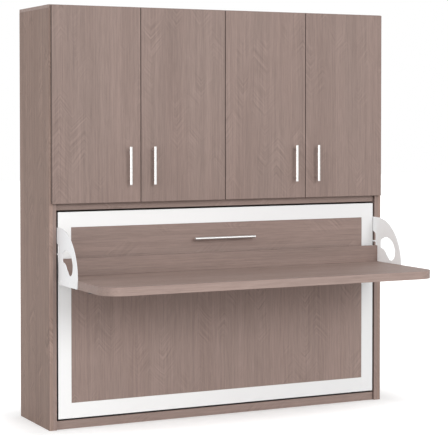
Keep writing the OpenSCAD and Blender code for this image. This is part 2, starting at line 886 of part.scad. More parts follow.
module desk_feet() {
    color(dark) for (y = glide_y)
        both_sides()
            translate([desk_x - glide_inset_x, y, desk_low_z - glide_h])
                cylinder(d1 = glide_d_low, d2 = glide_d, h = glide_h, $fn = round_fn);
}

// ---- Levelling rods and gas struts ----

module levelling_rod() {
    lean = atan2(rod_high_at[0] - rod_low_at[0], rod_high_at[1] - rod_low_at[1]);
    color(white) difference() {
        union() {
            side_plate(rod_x)
                translate(rod_low_at)
                    rotate(-lean)
                        translate([-rod_w / 2, 0])
                            square([rod_w, rod_l]);
            bar_x(rod_x[0], rod_x[1], rod_pin_d / 2 + rod_eye_wall, rod_low_at);
            bar_x(rod_x[0], rod_x[1], rod_pin_d / 2 + rod_eye_wall, rod_high_at);
        }
        bar_x(rod_x[0] - over, rod_x[1] + over, rod_pin_d / 2 + pin_fit, rod_low_at);
        bar_x(rod_x[0] - over, rod_x[1] + over, rod_pin_d / 2 + open_pivot_gap, rod_high_at);
    }
}

module right_levelling_rod() {
    levelling_rod();
}

module left_levelling_rod() {
    left_side() levelling_rod();
}

// Places children drawn from the strut's upper pin along +Z
module along_strut() {
    run = strut_low_at - strut_high_at;
    translate([strut_x, strut_high_at[0], strut_high_at[1]])
        rotate([atan2(-run[0], run[1]), 0, 0])
            children();
}

// An eye across the strut's axis at distance z from the upper pin
module strut_eye(z) {
    translate([0, 0, z])
        rotate([0, 90, 0])
            cylinder(r = strut_eye_r, h = strut_d, center = true, $fn = round_fn);
}

module strut_barrel() {
    color(dark) along_strut()
        difference() {
            union() {
                strut_eye(0);
                cylinder(d = strut_rod_d + 2 * strut_neck_wall, h = strut_neck_l, $fn = round_fn);
                translate([0, 0, strut_neck_l])
                    cylinder(d = strut_d, h = strut_barrel_l - strut_neck_l, $fn = round_fn);
            }
            rotate([0, 90, 0])
                cylinder(r = strut_rod_d / 2 + pin_fit, h = strut_d + 2 * over, center = true, $fn = round_fn);
            translate([0, 0, strut_bore_start])
                cylinder(r = strut_rod_d / 2 + pin_fit, h = strut_barrel_l, $fn = round_fn);
        }
}

module strut_rod() {
    color(steel) {
        along_strut() {
            translate([0, 0, strut_l - strut_rod_l])
                cylinder(d = strut_rod_d, h = strut_rod_l, $fn = round_fn);
            strut_eye(strut_l);
        }
        bar_x(frame_x + layer_gap, strut_x, strut_rod_d / 2, strut_low_at);
    }
}

module right_strut_barrel() {
    strut_barrel();
}

module left_strut_barrel() {
    left_side() strut_barrel();
}

module right_strut_rod() {
    strut_rod();
}

module left_strut_rod() {
    left_side() strut_rod();
}

left_side_panel();
right_side_panel();
left_side_lining();
right_side_lining();
top_panel();
cupboard_floor();
cupboard_divider();
shelves();
shelf_pins();
back_panels();
front_rail();
toe_rail();
wall_rails();
rear_toe_rail();
door_bumpers();
hinge_arms();
pivot_bases();
strut_anchors();
face_panel();
face_frame_top();
face_frame_bottom();
face_frame_left();
face_frame_right();
face_handle();
bed_channel_top();
bed_channel_bottom();
bed_channel_sides();
bed_cross_rails();
slats();
slat_holders();
mattress();
mattress_straps();
mattress_stops();
tilt_plates();
desk_pivots();
desk_top();
desk_upstand();
left_desk_bracket();
right_desk_bracket();
bracket_screws();
rod_rivets();
desk_feet();
left_levelling_rod();
right_levelling_rod();
left_strut_barrel();
right_strut_barrel();
left_strut_rod();
right_strut_rod();
door_1();
door_2();
door_3();
door_4();
door_1_handle();
door_2_handle();
door_3_handle();
door_4_handle();
door_1_hinge_cups();
door_2_hinge_cups();
door_3_hinge_cups();
door_4_hinge_cups();
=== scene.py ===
"""A wall bed with a level desk: finishes, soft goods, fittings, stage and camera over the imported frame.

Lengths are in metres, in the frame of the CAD model. The camera was fitted to about forty edges of the
photograph, whose frame is 448 by 435 pixels.
"""

import math
import random

import bmesh
import bpy
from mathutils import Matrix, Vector


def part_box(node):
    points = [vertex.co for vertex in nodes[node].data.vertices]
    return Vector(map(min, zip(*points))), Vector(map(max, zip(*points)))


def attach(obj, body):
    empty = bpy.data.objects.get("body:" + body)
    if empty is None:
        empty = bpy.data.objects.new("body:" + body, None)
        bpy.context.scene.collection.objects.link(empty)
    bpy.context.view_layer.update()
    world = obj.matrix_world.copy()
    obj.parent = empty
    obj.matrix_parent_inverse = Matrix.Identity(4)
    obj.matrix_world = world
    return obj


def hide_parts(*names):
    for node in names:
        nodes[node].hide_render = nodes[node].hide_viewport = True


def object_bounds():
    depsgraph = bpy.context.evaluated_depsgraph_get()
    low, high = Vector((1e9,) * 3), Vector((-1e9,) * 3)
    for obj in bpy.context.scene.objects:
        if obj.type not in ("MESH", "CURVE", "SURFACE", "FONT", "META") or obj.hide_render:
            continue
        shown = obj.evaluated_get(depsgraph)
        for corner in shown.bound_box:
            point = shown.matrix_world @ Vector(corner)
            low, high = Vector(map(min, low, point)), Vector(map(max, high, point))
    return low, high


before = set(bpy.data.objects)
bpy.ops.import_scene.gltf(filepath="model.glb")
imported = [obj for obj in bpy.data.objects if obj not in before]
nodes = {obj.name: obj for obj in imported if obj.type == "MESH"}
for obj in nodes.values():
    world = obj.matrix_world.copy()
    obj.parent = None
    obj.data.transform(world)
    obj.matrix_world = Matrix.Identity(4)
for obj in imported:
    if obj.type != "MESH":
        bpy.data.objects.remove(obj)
cad_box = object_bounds()

IMAGE_W, IMAGE_H = 448, 435
DOOR_HANDLES = ["door_1_handle", "door_2_handle", "door_3_handle", "door_4_handle"]
CUPS = ["door_1_hinge_cups", "door_2_hinge_cups", "door_3_hinge_cups", "door_4_hinge_cups"]


# ---- Materials ----

NOISE_ROUGHNESS = 0.55


class Shader:
    """A material's node tree. An input is a number, a colour or another node's output."""

    def __init__(self, name):
        self.material = bpy.data.materials.new(name)
        self.material.use_nodes = True
        self.tree = self.material.node_tree
        self.surface = self.tree.nodes["Principled BSDF"]
        self.coord = self.tree.nodes.new("ShaderNodeTexCoord")

    def put(self, socket, value):
        if isinstance(value, bpy.types.NodeSocket):
            self.tree.links.new(value, socket)
        elif hasattr(value, "__len__") and len(value) == 3 and len(socket.default_value) == 4:
            socket.default_value = (*value, 1.0)
        else:
            socket.default_value = value

    def set(self, **inputs):
        for name, value in inputs.items():
            self.put(self.surface.inputs[name.replace("_", " ")], value)

    def node(self, kind, inputs, out=0, **settings):
        n = self.tree.nodes.new("ShaderNode" + kind)
        for key, value in settings.items():
            setattr(n, key, value)
        for key, value in inputs.items():
            self.put(n.inputs[key], value)
        return n.outputs[out]

    def math(self, operation, a, b=0.0, c=0.0, clamp=False):
        return self.node("Math", {0: a, 1: b, 2: c}, operation=operation, use_clamp=clamp)

    def split(self, vector):
        parts = self.tree.nodes.new("ShaderNodeSeparateXYZ")
        self.put(parts.inputs[0], vector)
        return parts.outputs[0], parts.outputs[1], parts.outputs[2]

    def axes(self, offset=(0.0, 0.0, 0.0)):
        place = self.coord.outputs["Object"]
        return self.split(self.node("VectorMath", {0: place, 1: offset}, operation="ADD"))

    def vector(self, x, y, z):
        return self.node("CombineXYZ", {0: x, 1: y, 2: z})

    def scaled(self, value, factor):
        return self.math("MULTIPLY", value, factor)

    def stretched(self, axes, factors):
        """A place, with each of its axes scaled by its own factor."""
        return self.vector(*(self.scaled(axis, factor) for axis, factor in zip(axes, factors)))

    def noise(self, vector, scale=1.0, detail=3.0):
        inputs = {"Vector": vector, "Scale": scale, "Detail": detail, "Roughness": NOISE_ROUGHNESS}
        return self.node("TexNoise", inputs)

    def centred(self, value, weight):
        """The value's distance from a half, times a weight."""
        return self.math("MULTIPLY_ADD", value, weight, -0.5 * weight)

    def band(self, value, low, high, to_low=0.0, to_high=1.0):
        return self.node(
            "MapRange",
            {"Value": value, "From Min": low, "From Max": high, "To Min": to_low, "To Max": to_high},
            interpolation_type="SMOOTHSTEP",
        )

    def total(self, *values):
        result = values[0]
        for value in values[1:]:
            result = self.math("ADD", result, value)
        return result

    def mix(self, factor, a, b, blend="MIX"):
        return self.node("Mix", {0: factor, 6: a, 7: b}, out=2, data_type="RGBA", blend_type=blend)

    def dimmed(self, factor, colour, level):
        """The colour, brought towards level times itself as factor goes from 0 to 1."""
        return self.mix(factor, colour, self.mix(1.0, colour, level, "MULTIPLY"))

    def bump(self, height, distance):
        return self.node("Bump", {"Height": height, "Distance": distance})

    def worn_edge(self, radius):
        """0 on a flat face, rising to 1 on an edge rounded over by wear."""
        rounded = self.node("Bevel", {"Radius": radius}, samples=4)
        flat = self.tree.nodes.new("ShaderNodeNewGeometry").outputs["Normal"]
        same = self.node("VectorMath", {0: rounded, 1: flat}, out=1, operation="DOT_PRODUCT")
        return self.band(same, 0.995, 0.8)


def shade(colour, factor):
    return tuple(c * factor for c in colour)


LAMINATE = (0.307, 0.2265, 0.2000)
# A darker, warmer copy of the laminate for the side panels: painted shade on the sides away from the key
# light.
SHADED_SIDE_LAMINATE = (0.2995, 0.2150, 0.1830)
LIGHT_GRAIN, DARK_GRAIN = 1.24, 0.76
WORN_TONE, JOINT_GAP_SHADE = 1.45, 0.25
CHEVRON_W, CHEVRON_SLOPE = 0.075, 1.15


def laminate(
    name, along, seed, colour=LAMINATE, edge=1.0, ends=1.0, figured=1.0, contrast=1.0, gloss=0.10,
    level_above=None, joint_at=None,
):
    """Wood-grain laminate: long streaks along one axis, fine pores, and faint chevron figure in patches.

    edge paints light on the faces that look to the front, such as the band along a desk top, where the
    frontal light falls; ends paints shade on those that look left and right, such as door edges in their
    gaps. figured and contrast weigh the chevrons and the whole grain, and gloss is the specular level.
    Above the height level_above the grain lies level. Further than joint_at from the middle, a board's
    end is dark: painted shade, as in the gap of an open joint."""
    s = Shader(name)
    rnd = random.Random(seed)
    x, y, z = s.axes(tuple(rnd.uniform(-9.0, 9.0) for _ in range(3)))
    grain, side_a, side_b = {"x": (x, y, z), "y": (y, x, z), "z": (z, x, y)}[along]
    if level_above is not None:
        turned = s.math("GREATER_THAN", s.axes()[2], level_above)
        apart = s.math("MULTIPLY", turned, s.math("SUBTRACT", side_a, grain))
        grain, side_a = s.math("ADD", grain, apart), s.math("SUBTRACT", side_a, apart)

    def streaks(crosswise, lengthwise, detail=3.0):
        place = s.stretched((side_a, side_b, grain), (crosswise, crosswise, lengthwise))
        return s.noise(place, detail=detail)

    broad = streaks(9.0, 0.7, 2.0)
    medium = streaks(75.0, 0.9, 3.0)
    fleck = streaks(170.0, 10.0, 2.0)
    fine = streaks(420.0, 4.0, 4.0)
    pores = s.band(streaks(1100.0, 45.0, 2.0), 0.60, 0.70)

    across = s.total(side_a, side_b, s.centred(streaks(3.0, 2.0), 0.09))
    run = s.math("MULTIPLY_ADD", s.math("PINGPONG", across, CHEVRON_W), CHEVRON_SLOPE, grain)
    hatch = s.noise(s.vector(s.scaled(run, 125.0), s.scaled(across, 8.0), 0.0), detail=1.0)
    patch = s.band(streaks(7.5, 4.0, 1.0), 0.46, 0.66)
    figure = s.math("MULTIPLY", s.centred(hatch, 1.35 * figured), patch)

    tone = s.total(
        s.centred(broad, 0.55), s.centred(medium, 0.70), s.centred(fleck, 0.75), s.centred(fine, 0.55),
        figure, s.scaled(pores, -0.22),
    )
    tone = s.math("MULTIPLY_ADD", tone, contrast, 0.5, clamp=True)
    tint = s.band(streaks(5.0, 0.9), 0.3, 0.7)
    red, green, blue = colour
    light = s.mix(tint, shade((red, green * 1.015, blue * 1.02), LIGHT_GRAIN), shade(colour, LIGHT_GRAIN))
    dark = s.mix(tint, shade((red * 0.98, green, blue), DARK_GRAIN), shade(colour, DARK_GRAIN))
    body = s.mix(tone, dark, light)
    if edge != 1.0 or ends != 1.0:
        facing = s.split(s.coord.outputs["Normal"])
        # Painted light: faces that look to the front are lightened, as where the frontal light falls on
        # them.
        front = s.band(s.scaled(facing[1], -1.0), 0.70, 0.98)
        # Painted shade: faces that look left or right are darkened, as door edges deep in their gaps are.
        shaded_sides = s.band(s.math("ABSOLUTE", facing[0]), 0.30, 0.90)
        body = s.dimmed(front, body, (edge, edge, edge))
        body = s.dimmed(shaded_sides, body, (ends, ends, ends))
    if joint_at is not None:
        # Painted shade: a board's ends are darkened, as the gap of an open joint is.
        joint_gap_shade = s.math("GREATER_THAN", s.math("ABSOLUTE", s.axes()[0]), joint_at)
        body = s.mix(joint_gap_shade, body, shade(colour, JOINT_GAP_SHADE))
    wear = s.scaled(s.math("MULTIPLY", s.worn_edge(0.0012), s.band(medium, 0.35, 0.7)), 0.35)
    relief = s.total(s.scaled(fine, 0.7), s.scaled(hatch, 0.15 * figured), s.scaled(pores, -0.8))
    s.set(
        Base_Color=s.mix(wear, body, shade(colour, WORN_TONE)),
        Roughness=s.total(s.centred(fine, 0.16), s.scaled(pores, 0.12), 0.47),
        Normal=s.bump(relief, 0.00012),
    )
    s.surface.inputs["Specular IOR Level"].default_value = gloss
    return s.material


FACE_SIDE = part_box("face_frame_right")[1].x
FACE_BOTTOM, FACE_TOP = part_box("face_frame_bottom")[0].z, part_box("face_frame_top")[1].z
# Painted shade: width and colour of a dark band on the bed face's outer faces, standing in for the gap
# round it.
GAP_SHADE_BAND, GAP_SHADE_COLOUR = 0.0003, (0.16, 0.16, 0.165)
# Painted shade: how far the white falls towards its right end.
RIGHT_END_SHADE = (0.88, 0.88, 0.885)


def white_board(name, seed):
    """Satin white laminate: faint clouding, a very fine orange peel, slightly duller handled places, a slow
    painted shade that darkens it from left to right, and a dark band painted round the outside of the
    bed's face as the shade of the gap around it."""
    s = Shader(name)
    place = s.vector(*s.axes((seed, 0.0, 0.0)))
    cloud = s.noise(place, 5.0, 3.0)
    peel = s.noise(place, 650.0, 2.0)
    handled = s.band(s.noise(place, 2.3, 2.0), 0.45, 0.65)
    base = s.mix(cloud, (0.915, 0.917, 0.914), (0.940, 0.942, 0.940))
    across, _, height = s.axes()
    # Painted shade: the white darkens slowly towards the right end.
    base = s.dimmed(s.band(across, -0.6, 1.1), base, RIGHT_END_SHADE)
    # Painted shade: the outer faces of the bed's face are dark, as the gap around it is.
    into_gap_shade = s.math("SUBTRACT", s.math("ABSOLUTE", across), FACE_SIDE - GAP_SHADE_BAND)
    into_gap_shade = s.math("MAXIMUM", into_gap_shade, s.math("SUBTRACT", height, FACE_TOP - GAP_SHADE_BAND))
    into_gap_shade = s.math("MAXIMUM", into_gap_shade, s.math("SUBTRACT", FACE_BOTTOM + GAP_SHADE_BAND, height))
    base = s.mix(s.math("GREATER_THAN", into_gap_shade, 0.0), base, GAP_SHADE_COLOUR)
    s.set(
        Base_Color=s.mix(s.scaled(s.worn_edge(0.0010), 0.2), base, (0.72, 0.71, 0.69)),
        Roughness=s.total(s.centred(peel, 0.10), s.scaled(handled, 0.06), 0.36),
        Normal=s.bump(peel, 0.00004),
    )
    return s.material


def powder_coat(name, colour, roughness=0.4):
    """Powder coat on steel: an orange-peel skin with dust specks and thin edges."""
    s = Shader(name)
    place = s.vector(*s.axes())
    peel = s.noise(place, 380.0, 3.0)
    grit = s.noise(place, 1900.0, 1.0)
    cloud = s.noise(place, 7.0, 2.0)
    body = s.mix(cloud, shade(colour, 0.965), shade(colour, 1.01))
    thin = s.scaled(s.worn_edge(0.0008), 0.25)
    s.set(
        Base_Color=s.mix(thin, body, shade(colour, 0.78)),
        Roughness=s.total(s.centred(grit, 0.14), roughness),
        Normal=s.bump(s.total(peel, s.scaled(grit, 0.25)), 0.00007),
    )
    return s.material


HAIRLINE_ACROSS, HAIRLINE_ALONG = 1500.0, 14.0


def brushed(name, along, colour=(0.80, 0.795, 0.785), roughness=0.26):
    """Bright brushed steel: hairlines along one axis, with faint handling marks."""
    s = Shader(name)
    axes = s.axes()
    factors = [HAIRLINE_ALONG if axis == along else HAIRLINE_ACROSS for axis in "xyz"]
    hair = s.noise(s.stretched(axes, factors), detail=2.0)
    marks = s.noise(s.vector(*axes), 32.0, 3.0)
    s.set(
        Base_Color=s.mix(hair, shade(colour, 0.93), shade(colour, 1.06)),
        Roughness=s.total(s.centred(hair, 0.16), s.centred(marks, 0.12), roughness),
        Normal=s.bump(hair, 0.00002),
    )
    s.surface.inputs["Metallic"].default_value = 1.0
    s.surface.inputs["Anisotropic"].default_value = 0.4
    return s.material


def zinc(name):
    """Zinc plate: soft crystal patches, a faint warm and blue cast, small scuffs."""
    s = Shader(name)
    axes = s.axes()
    place = s.vector(*axes)
    crystal = s.node("TexVoronoi", {"Vector": place, "Scale": 260.0})
    cast = s.noise(place, 38.0, 2.0)
    scuff = s.noise(s.stretched(axes, (900.0, 900.0, 80.0)), detail=2.0)
    body = s.mix(cast, (0.54, 0.56, 0.60), (0.64, 0.62, 0.57))
    s.set(
        Base_Color=s.mix(s.scaled(crystal, 0.35), body, (0.46, 0.47, 0.49)),
        Roughness=s.total(s.centred(crystal, 0.10), s.centred(scuff, 0.18), 0.33),
        Normal=s.bump(scuff, 0.00003),
    )
    s.surface.inputs["Metallic"].default_value = 1.0
    return s.material


def black_gloss(name):
    """Black enamel on the gas struts' barrels."""
    s = Shader(name)
    place = s.vector(*s.axes())
    drift = s.noise(place, 24.0, 3.0)
    swirl = s.noise(place, 700.0, 2.0)
    s.set(
        Base_Color=s.mix(drift, (0.012, 0.012, 0.013), (0.024, 0.024, 0.026)),
        Roughness=s.total(s.centred(swirl, 0.10), s.centred(drift, 0.12), 0.24),
        Normal=s.bump(swirl, 0.00002),
    )
    s.surface.inputs["Coat Weight"].default_value = 0.5
    s.surface.inputs["Coat Roughness"].default_value = 0.1
    return s.material


def birch(name):
    """Lacquered birch plywood: pale cathedral grain along the slats, flecks, and a thin satin coat."""
    s = Shader(name)
    axes = s.axes()
    wide = s.noise(s.stretched(axes, (14.0, 14.0, 1.3)), detail=2.0)
    waved = s.math("MULTIPLY_ADD", wide, 5.0, s.scaled(axes[0], 60.0))
    rings = s.noise(s.vector(waved, s.scaled(axes[1], 60.0), s.scaled(axes[2], 2.2)), detail=3.0)
    fibre = s.noise(s.stretched(axes, (700.0, 700.0, 18.0)), detail=3.0)
    fleck = s.band(s.noise(s.stretched(axes, (420.0, 420.0, 60.0))), 0.62, 0.7)
    body = s.mix(s.band(rings, 0.3, 0.7), (0.62, 0.44, 0.26), (0.78, 0.62, 0.42))
    body = s.mix(s.scaled(fibre, 0.3), body, (0.55, 0.38, 0.22))
    s.set(
        Base_Color=s.mix(s.scaled(fleck, 0.3), body, (0.42, 0.27, 0.15)),
        Roughness=s.total(s.centred(fibre, 0.2), 0.42),
        Normal=s.bump(s.total(fibre, s.scaled(rings, 0.4)), 0.00012),
    )
    s.surface.inputs["Coat Weight"].default_value = 0.2
    s.surface.inputs["Coat Roughness"].default_value = 0.3
    return s.material


def moulding(name, colour):
    """Matt moulded plastic: a spark-eroded grain with scuffed edges."""
    s = Shader(name)
    place = s.vector(*s.axes())
    grain = s.noise(place, 1100.0, 2.0)
    cloud = s.noise(place, 30.0, 2.0)
    body = s.mix(cloud, shade(colour, 0.88), shade(colour, 1.12))
    s.set(
        Base_Color=s.mix(s.scaled(s.worn_edge(0.001), 0.4), body, shade(colour, 2.4)),
        Roughness=s.total(s.centred(grain, 0.2), 0.55),
        Normal=s.bump(grain, 0.00006),
    )
    return s.material


def clear_rubber(name):
    """Soft translucent buffers, faintly cloudy."""
    s = Shader(name)
    cloud = s.noise(s.vector(*s.axes()), 500.0, 3.0)
    s.set(
        Base_Color=s.mix(cloud, (0.70, 0.70, 0.67), (0.84, 0.84, 0.81)),
        Roughness=s.total(s.centred(cloud, 0.2), 0.45),
        Normal=s.bump(cloud, 0.00004),
    )
    s.surface.inputs["Transmission Weight"].default_value = 0.35
    return s.material


def weave(name, light, dark, pitch, twill, fuzz=0.3, relief=0.00025):
    """Cloth seen from X, Y or Z: over-and-under threads, slubs and a soft sheen."""
    s = Shader(name)
    x, y, z = s.axes()
    turn = math.tau / pitch
    warp_at = s.math("MULTIPLY", s.total(x, s.scaled(y, 0.5)), turn)
    weft_at = s.math("MULTIPLY", s.total(z, s.scaled(y, 0.5)), turn)
    warp = s.math("ABSOLUTE", s.math("SINE", s.scaled(warp_at, 0.5)))
    weft = s.math("ABSOLUTE", s.math("SINE", s.scaled(weft_at, 0.5)))
    over = s.band(s.math("SINE", s.total(s.scaled(warp_at, 0.5), s.scaled(weft_at, twill))), -0.3, 0.3)
    under = s.math("SUBTRACT", 1.0, over)
    thread = s.total(s.math("MULTIPLY", warp, over), s.math("MULTIPLY", weft, under))
    slub = s.noise(s.stretched((x, y, z), (90.0, 90.0, 14.0)), detail=3.0)
    soil = s.noise(s.vector(x, y, z), 4.0, 3.0)
    body = s.mix(s.total(s.scaled(thread, 0.6), s.centred(slub, 0.5), 0.2), dark, light)
    s.set(
        Base_Color=s.mix(s.scaled(soil, 0.12), body, shade(dark, 0.9)),
        Roughness=s.total(s.centred(slub, 0.15), 0.82),
        Normal=s.bump(thread, relief),
    )
    s.surface.inputs["Sheen Weight"].default_value = fuzz
    s.surface.inputs["Sheen Roughness"].default_value = 0.5
    return s.material


# ---- CAD nodes: eased edges and finishes ----

WELD_WITHIN = 1e-5
COPLANAR_WITHIN = math.radians(0.6)
SHARP_FROM = math.radians(40.0)


def dress(name, material, ease, segments=2):
    """Gives a CAD node its material and rounds its sharp edges, without touching its mesh's shape."""
    obj = nodes[name]
    mesh = obj.data
    normals = mesh.attributes.get("custom_normal")
    if normals is not None:
        mesh.attributes.remove(normals)
    mesh.polygons.foreach_set("use_smooth", [True] * len(mesh.polygons))
    mesh.materials.clear()
    mesh.materials.append(material)
    weld = obj.modifiers.new("weld", "WELD")
    weld.merge_threshold = WELD_WITHIN
    flat = obj.modifiers.new("flat", "DECIMATE")
    flat.decimate_type = "DISSOLVE"
    flat.angle_limit = COPLANAR_WITHIN
    edges = obj.modifiers.new("eased", "BEVEL")
    edges.width = ease
    edges.segments = segments
    edges.limit_method = "ANGLE"
    edges.angle_limit = SHARP_FROM
    edges.harden_normals = True


# Each board's grain direction, its brightness against the laminate's own, and how far its edges are eased
# Some brightnesses paint light and shade: the side panels darker, the doors darker from left to right, and
# the front and toe rails lighter.
BOARDS = {
    "left_side_panel": ("z", 0.835, 0.0010),
    "right_side_panel": ("z", 0.85, 0.0010),
    "left_side_lining": ("z", 1.00, 0.0010),
    "right_side_lining": ("z", 1.00, 0.0010),
    "top_panel": ("x", 1.00, 0.0010),
    "cupboard_floor": ("x", 0.98, 0.0008),
    "cupboard_divider": ("z", 0.98, 0.0008),
    "shelves": ("x", 0.98, 0.0010),
    "back_panels": ("z", 0.96, 0.0004),
    "front_rail": ("x", 1.04, 0.0008),
    "toe_rail": ("x", 1.05, 0.0008),
    "wall_rails": ("x", 0.96, 0.0008),
    "rear_toe_rail": ("x", 0.96, 0.0008),
    "face_panel": ("z", 1.015, 0.0006),
    "desk_upstand": ("x", 0.965, 0.0010),
    "door_1": ("z", 0.965, 0.0008),
    "door_2": ("z", 0.945, 0.0008),
    "door_3": ("z", 0.950, 0.0008),
    "door_4": ("z", 0.940, 0.0008),
}
BOARD_SEED = 11
JOINT_W = 0.004
for seed, (name, (along, level, ease)) in enumerate(BOARDS.items(), BOARD_SEED):
    options = {}
    if name == "desk_upstand":
        options = {"figured": 0.0}
    if name == "face_panel":
        options = {"level_above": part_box("desk_top")[1].z}
    if name.endswith("side_panel"):
        # Painted light on the side panels' front edges.
        options = {"edge": 1.38, "gloss": 0.02, "contrast": 1.35}
    if name.startswith("door"):
        # Painted shade on the doors' left and right edges, as in the gaps between them.
        options = {"ends": 0.5}
    if name in ("toe_rail", "front_rail"):
        # Painted shade at the rails' ends, as in an open joint's gap.
        options = {"joint_at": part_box(name)[1].x - JOINT_W}
    # The side panels take the darker copy of the laminate, as painted shade.
    tone = SHADED_SIDE_LAMINATE if name.endswith("side_panel") else LAMINATE
    dress(name, laminate(name, along, seed, shade(tone, level), **options), ease)
# Painted light on the desk top's front band, and painted shade on its rounded corners and end faces.
desk_wood = laminate("desk_top", "x", 5, shade(LAMINATE, 1.02), edge=1.16, ends=0.89, figured=0.0)
dress("desk_top", desk_wood, 0.0020, 3)

WHITE_BOARD_SHIFT = 3.1
for k, name in enumerate(["face_frame_top", "face_frame_bottom", "face_frame_left", "face_frame_right"]):
    dress(name, white_board(name, WHITE_BOARD_SHIFT * k), 0.0005)

white_steel = powder_coat("white_steel", (0.86, 0.86, 0.85))
for name in [
    "bed_channel_top", "bed_channel_bottom", "bed_channel_sides", "bed_cross_rails", "mattress_stops",
    "tilt_plates", "left_levelling_rod", "right_levelling_rod",
]:
    dress(name, white_steel, 0.0005)
# The brackets take copies of the white steel: the left one darker, as painted shade, and the right one
# lighter, as painted light.
dress("left_desk_bracket", powder_coat("white_steel_left_shaded", (0.78, 0.78, 0.79)), 0.0009)
dress("right_desk_bracket", powder_coat("white_steel_right_lit", (0.97, 0.985, 0.99), 0.6), 0.0009)
dress("bracket_screws", white_steel, 0.0006)

# The level handle's steel is a darker copy of the door handles' steel, as painted shade.
dress("face_handle", brushed("brushed_level_shaded", "x", (0.71, 0.705, 0.70), 0.34), 0.0007)
for name in DOOR_HANDLES:
    dress(name, brushed("brushed_upright", "z"), 0.0007)

plated = zinc("zinc_steel")
for name in ["shelf_pins", "hinge_arms", "pivot_bases", "strut_anchors", "rod_rivets", *CUPS]:
    dress(name, plated, 0.0006)
dress("desk_pivots", plated, 0.00025)
rod_finish = brushed("strut_rod", "y", (0.74, 0.745, 0.75), 0.14)
barrel_finish = black_gloss("black_steel")
for side in ("left", "right"):
    dress(side + "_strut_rod", rod_finish, 0.0008)
    dress(side + "_strut_barrel", barrel_finish, 0.0010, 3)

dress("slats", birch("birch"), 0.0022, 3)
black_plastic = moulding("black_plastic", (0.030, 0.030, 0.033))
dress("slat_holders", black_plastic, 0.0007)
dress("desk_feet", black_plastic, 0.0015, 3)
dress("door_bumpers", clear_rubber("clear_rubber"), 0.0004)


# ---- Mesh helpers ----


def from_bmesh(name, bm, material, smooth=True):
    mesh = bpy.data.meshes.new(name)
    bm.to_mesh(mesh)
    bm.free()
    mesh.polygons.foreach_set("use_smooth", [smooth] * len(mesh.polygons))
    mesh.materials.append(material)
    obj = bpy.data.objects.new(name, mesh)
    bpy.context.scene.collection.objects.link(obj)
    return obj


def skin(bm, rings):
    """Faces between each closed ring of points and the next."""
    for a, b in zip(rings, rings[1:]):
        for k in range(len(a)):
            m = (k + 1) % len(a)
            bm.faces.new([a[k], b[k], b[m], a[m]])


def cap(bm, rings):
    bm.faces.new(rings[0])
    bm.faces.new(rings[-1][::-1])


def soft_box(bm, centre, size, ease, segments=3):
    """A box with eased edges, for buckles and other small mouldings."""
    made = bmesh.ops.create_cube(bm, size=1.0)["verts"]
    for v in made:
        v.co = Vector((v.co.x * size[0], v.co.y * size[1], v.co.z * size[2])) + Vector(centre)
    edges = {e for v in made for e in v.link_edges}
    bmesh.ops.bevel(bm, geom=list(edges), offset=ease, segments=segments, affect="EDGES", profile=0.5)


# ---- Mattress ----

ticking = weave("ticking", (0.86, 0.85, 0.82), (0.70, 0.69, 0.66), 0.0016, 0.5)
piping = weave("piping", (0.58, 0.55, 0.51), (0.42, 0.40, 0.37), 0.0012, 0.25)
webbing = weave("webbing", (0.060, 0.060, 0.065), (0.018, 0.018, 0.020), 0.0024, 1.0, 0.15, 0.0004)

low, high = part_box("mattress")
HALF_X, HALF_Z = (high.x - low.x) / 2, (high.z - low.z) / 2
MID_Z = (high.z + low.z) / 2
CORNER = 0.060
FLAT_X, FLAT_Z = HALF_X - CORNER, HALF_Z - CORNER
TAPE = 0.006
QUILT, QUILT_CROWN = 0.150, 0.45
SINK, LEAST_SINK, MOST_SINK = 0.007, 0.0003, 0.007 * 1.15
SLACK = 0.12
PANEL_INSET = TAPE * 0.8
PANEL_STEP = 0.0105
EDGE_FADE = 0.045


def outline_point(t, inset):
    """A point on the mattress's rounded outline at t metres from its start, with its outward direction."""
    r = CORNER - inset
    quarter = math.pi / 2 * r
    corners = [(FLAT_X, -FLAT_Z), (FLAT_X, FLAT_Z), (-FLAT_X, FLAT_Z), (-FLAT_X, -FLAT_Z)]
    for k, (corner_x, corner_z) in enumerate(corners):
        run = (2 * FLAT_X, 2 * FLAT_Z)[k % 2]
        start = (k - 1) * math.pi / 2
        centre = Vector((corner_x, 0, corner_z + MID_Z))
        out = Vector((math.cos(start), 0, math.sin(start)))
        if t <= run:
            return centre + out * r - Vector((-out.z, 0, out.x)) * (run - t), out
        t -= run
        if t <= quarter:
            angle = start + t / r
            out = Vector((math.cos(angle), 0, math.sin(angle)))
            return centre + out * r, out
        t -= quarter
    return outline_point(0.0, inset)


def outline_length(inset):
    return 4 * FLAT_X + 4 * FLAT_Z + math.tau * (CORNER - inset)


def panel_point(u, w):
    """A point of a panel's grid, u and w going from -1 to 1, with the corners drawn in to the outline."""
    px, pz = u * (HALF_X - PANEL_INSET), w * (HALF_Z - PANEL_INSET)
    flat_x, flat_z = FLAT_X - PANEL_INSET, FLAT_Z - PANEL_INSET
    over_x, over_z = abs(px) - flat_x, abs(pz) - flat_z
    if over_x > 0 and over_z > 0:
        shrink = max(over_x, over_z) / math.hypot(over_x, over_z)
        px = math.copysign(flat_x + over_x * shrink, px)
        pz = math.copysign(flat_z + over_z * shrink, pz)
    return px, pz


def quilt_height(px, pz):
    """Height of the quilting, 0 on a stitched line and 1 in the middle of a diamond."""
    a = (px + pz) / QUILT
    b = (px - pz) / QUILT
    line = abs(math.sin(math.pi * a)) * abs(math.sin(math.pi * b))
    return line ** QUILT_CROWN


